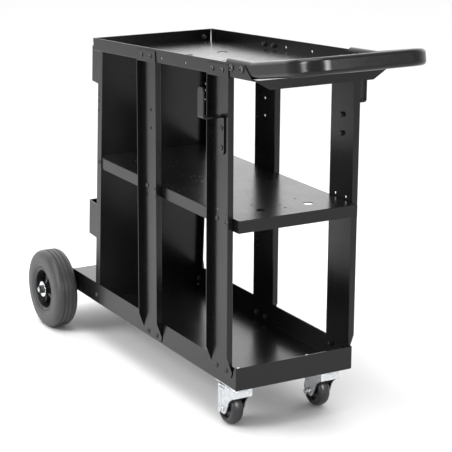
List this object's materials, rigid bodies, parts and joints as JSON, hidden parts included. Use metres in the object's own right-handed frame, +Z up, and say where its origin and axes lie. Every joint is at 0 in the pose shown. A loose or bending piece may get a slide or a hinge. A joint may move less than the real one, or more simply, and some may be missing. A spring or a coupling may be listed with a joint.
{
  "type": "welding cart",
  "caption": "Three-tier sheet-steel welding cart with a tilted top tray, push handle, cable hooks, gas cylinder platform, large rear wheels and front swivel casters.",
  "frame": {"origin": "on the floor, under the middle of the whole cart's bounding box", "axes": "+X forward to the push handle, +Y to the cart's left, +Z up"},
  "size_m": [1.2646, 0.456, 0.8744],
  "materials": {
    "black_paint": "satin black powder coat",
    "handle_gloss": "glossier black powder coat",
    "black_fastener": "black oxide with worn highlights",
    "axle_steel": "bright drawn bar",
    "zinc": "bright zinc plate",
    "ball_steel": "polished",
    "tyre_rubber": "matte solid rubber",
    "caster_rubber": "smooth hard rubber",
    "wheel_plastic": "moulded black nylon",
    "bush_plastic": "plain nylon"
  },
  "bodies": {
    "frame": {"bottom_tray": "black_paint", "top_tray": "black_paint", "mid_shelf": "black_paint", "rear_panel": "black_paint", "post_front_right": "black_paint", "post_front_left": "black_paint", "post_mid_right": "black_paint", "post_mid_left": "black_paint", "handle": "handle_gloss", "cylinder_bracket_lower": "black_paint", "cylinder_bracket_upper": "black_paint", "cable_hook_right": "black_paint", "cable_hook_left": "black_paint", "axle_plate_right": "black_paint", "axle_plate_left": "black_paint", "rear_axle": "axle_steel", "axle_spacers": "axle_steel", "axle_washers": "zinc", "axle_nuts": "black_fastener", "caster_plate_right": "zinc", "caster_plate_left": "zinc", "caster_kingpin_right": "zinc", "caster_kingpin_left": "zinc", "lower_frame_bolts": "black_fastener", "lower_frame_nuts": "black_fastener", "shelf_bolts": "black_fastener", "shelf_nuts": "black_fastener", "top_tray_bolts": "black_fastener", "top_tray_nuts": "black_fastener", "hook_bolts": "black_fastener", "hook_nuts": "black_fastener", "handle_bolts": "black_fastener", "handle_nuts": "black_fastener", "caster_bolts": "zinc", "caster_nuts": "zinc"},
    "rear_wheel_right": {"rear_tyre_right": "tyre_rubber", "rear_hub_right": "wheel_plastic", "rear_bush_right": "bush_plastic"},
    "caster_swivel_right": {"caster_fork_right": "zinc", "caster_balls_right": "ball_steel", "caster_axle_right": "zinc", "caster_axle_nut_right": "zinc"},
    "caster_wheel_right": {"caster_tread_right": "caster_rubber", "caster_hub_right": "wheel_plastic"},
    "rear_wheel_left": {"rear_tyre_left": "tyre_rubber", "rear_hub_left": "wheel_plastic", "rear_bush_left": "bush_plastic"},
    "caster_swivel_left": {"caster_fork_left": "zinc", "caster_balls_left": "ball_steel", "caster_axle_left": "zinc", "caster_axle_nut_left": "zinc"},
    "caster_wheel_left": {"caster_tread_left": "caster_rubber", "caster_hub_left": "wheel_plastic"}
  },
  "joints": [
    {"name": "rear_wheel_right_spin", "type": "hinge", "parent": "frame", "child": "rear_wheel_right", "pos_m": [-0.52828, -0.187, 0.1016], "axis": [0, 1, 0], "continuous": true},
    {"name": "caster_right_swivel", "type": "hinge", "parent": "frame", "child": "caster_swivel_right", "pos_m": [0.31172, -0.114, 0.0966], "axis": [0, 0, 1], "continuous": true},
    {"name": "caster_wheel_right_spin", "type": "hinge", "parent": "caster_swivel_right", "child": "caster_wheel_right", "pos_m": [0.28172, -0.114, 0.038], "axis": [0, 1, 0], "continuous": true},
    {"name": "rear_wheel_left_spin", "type": "hinge", "parent": "frame", "child": "rear_wheel_left", "pos_m": [-0.52828, 0.187, 0.1016], "axis": [0, 1, 0], "continuous": true},
    {"name": "caster_left_swivel", "type": "hinge", "parent": "frame", "child": "caster_swivel_left", "pos_m": [0.31172, 0.114, 0.0966], "axis": [0, 0, 1], "continuous": true},
    {"name": "caster_wheel_left_spin", "type": "hinge", "parent": "caster_swivel_left", "child": "caster_wheel_left", "pos_m": [0.28172, 0.114, 0.038], "axis": [0, 1, 0], "continuous": true}
  ]
}
